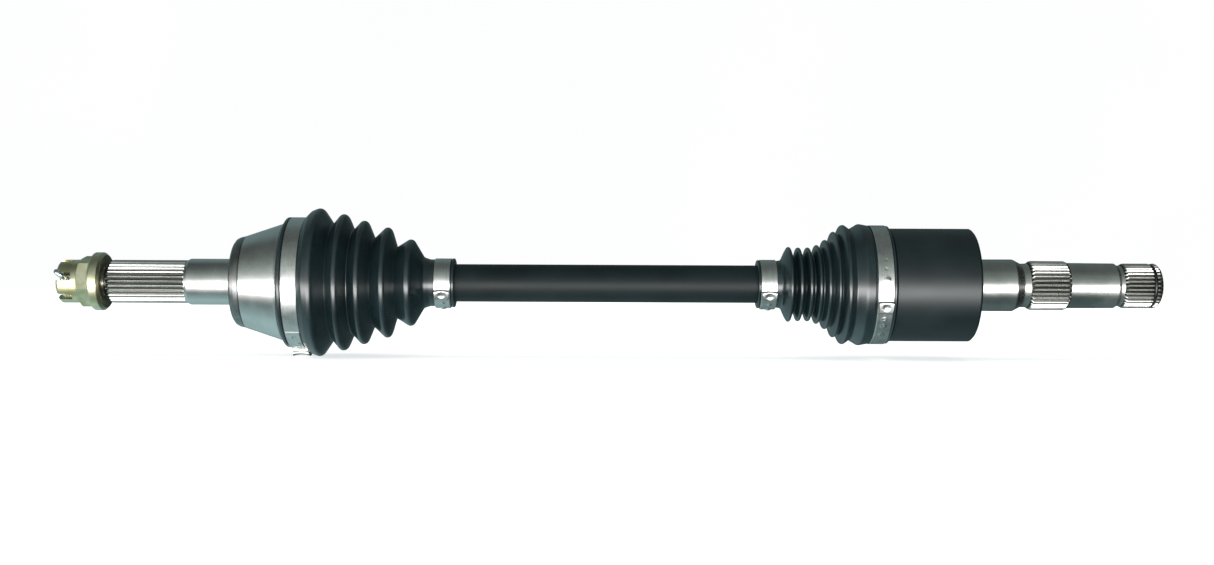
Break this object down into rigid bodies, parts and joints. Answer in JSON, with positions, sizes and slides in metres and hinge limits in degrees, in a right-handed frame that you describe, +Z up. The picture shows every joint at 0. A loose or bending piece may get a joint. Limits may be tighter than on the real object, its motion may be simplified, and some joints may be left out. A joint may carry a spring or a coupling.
{
  "type": "cv axle",
  "caption": "Drive axle with a fixed ball joint and splined hub stub at one end, a plunging ball joint and splined gearbox stub at the other, and two rubber boots.",
  "frame": {"origin": "on the axle's axis, at the shoulder where the outer stub meets the outer joint cup, in the plane of the shoulder face", "axes": "+X along the axle from the hub end to the gearbox end, +Z up and -Y towards the split pin's eye side, with both joints straight"},
  "size_m": [0.6597, 0.0888, 0.0888],
  "materials": {
    "machined_steel": "turned, bright, lightly oiled",
    "nut_zinc": "yellow-green zinc plating, satin",
    "pin_steel": "bright zinc",
    "boot_rubber": "moulded black rubber, satin gloss",
    "clamp_steel": "rolled stainless band, satin",
    "bar_black": "black paint, satin",
    "inner_cup_black": "black paint, satin, over a bare machined stub",
    "race_steel": "ground",
    "cage_steel": "hardened, dark",
    "ball_steel": "polished",
    "spring_steel": "black oxide"
  },
  "bodies": {
    "axle_bar": {"axle_bar": "bar_black", "outer_inner_race": "race_steel", "outer_race_circlip": "spring_steel", "outer_stop_ring": "spring_steel", "inner_inner_race": "race_steel", "inner_race_circlip": "spring_steel", "inner_stop_ring": "spring_steel", "outer_small_clamp": "clamp_steel", "inner_small_clamp": "clamp_steel", "outer_boot": "boot_rubber"},
    "outer_cage": {"outer_cage": "cage_steel", "outer_ball_1": "ball_steel", "outer_ball_2": "ball_steel", "outer_ball_3": "ball_steel", "outer_ball_4": "ball_steel", "outer_ball_5": "ball_steel", "outer_ball_6": "ball_steel"},
    "outer_housing": {"outer_joint_housing": "machined_steel", "castle_nut": "nut_zinc", "split_pin": "pin_steel", "outer_large_clamp": "clamp_steel"},
    "inner_cage": {"inner_cage": "cage_steel", "inner_ball_1": "ball_steel", "inner_ball_2": "ball_steel", "inner_ball_3": "ball_steel", "inner_ball_4": "ball_steel", "inner_ball_5": "ball_steel", "inner_ball_6": "ball_steel"},
    "inner_bellows": {"inner_boot": "boot_rubber"},
    "inner_housing": {"inner_joint_housing": "inner_cup_black", "inner_large_clamp": "clamp_steel", "cup_retaining_ring": "pin_steel", "stub_snap_ring": "spring_steel"}
  },
  "joints": [
    {"name": "outer_pitch", "type": "hinge", "parent": "axle_bar", "child": "outer_cage", "pos_m": [0.032, 0, 0], "axis": [0, 1, 0], "range_deg": [-30, 30], "deforming": ["outer_boot"]},
    {"name": "outer_yaw", "type": "hinge", "parent": "outer_cage", "child": "outer_housing", "pos_m": [0.032, 0, 0], "axis": [0, 0, 1], "range_deg": [-30, 30], "deforming": ["outer_boot"]},
    {"name": "inner_pitch", "type": "hinge", "parent": "axle_bar", "child": "inner_cage", "pos_m": [0.4055, 0, 0], "axis": [0, 1, 0], "range_deg": [-15, 15], "deforming": ["inner_boot"]},
    {"name": "inner_yaw", "type": "hinge", "parent": "inner_cage", "child": "inner_bellows", "pos_m": [0.4055, 0, 0], "axis": [0, 0, 1], "range_deg": [-15, 15], "deforming": ["inner_boot"]},
    {"name": "inner_plunge", "type": "slide", "parent": "inner_bellows", "child": "inner_housing", "axis": [1, 0, 0], "range_m": [-0.008, 0.011], "deforming": ["inner_boot"]}
  ]
}
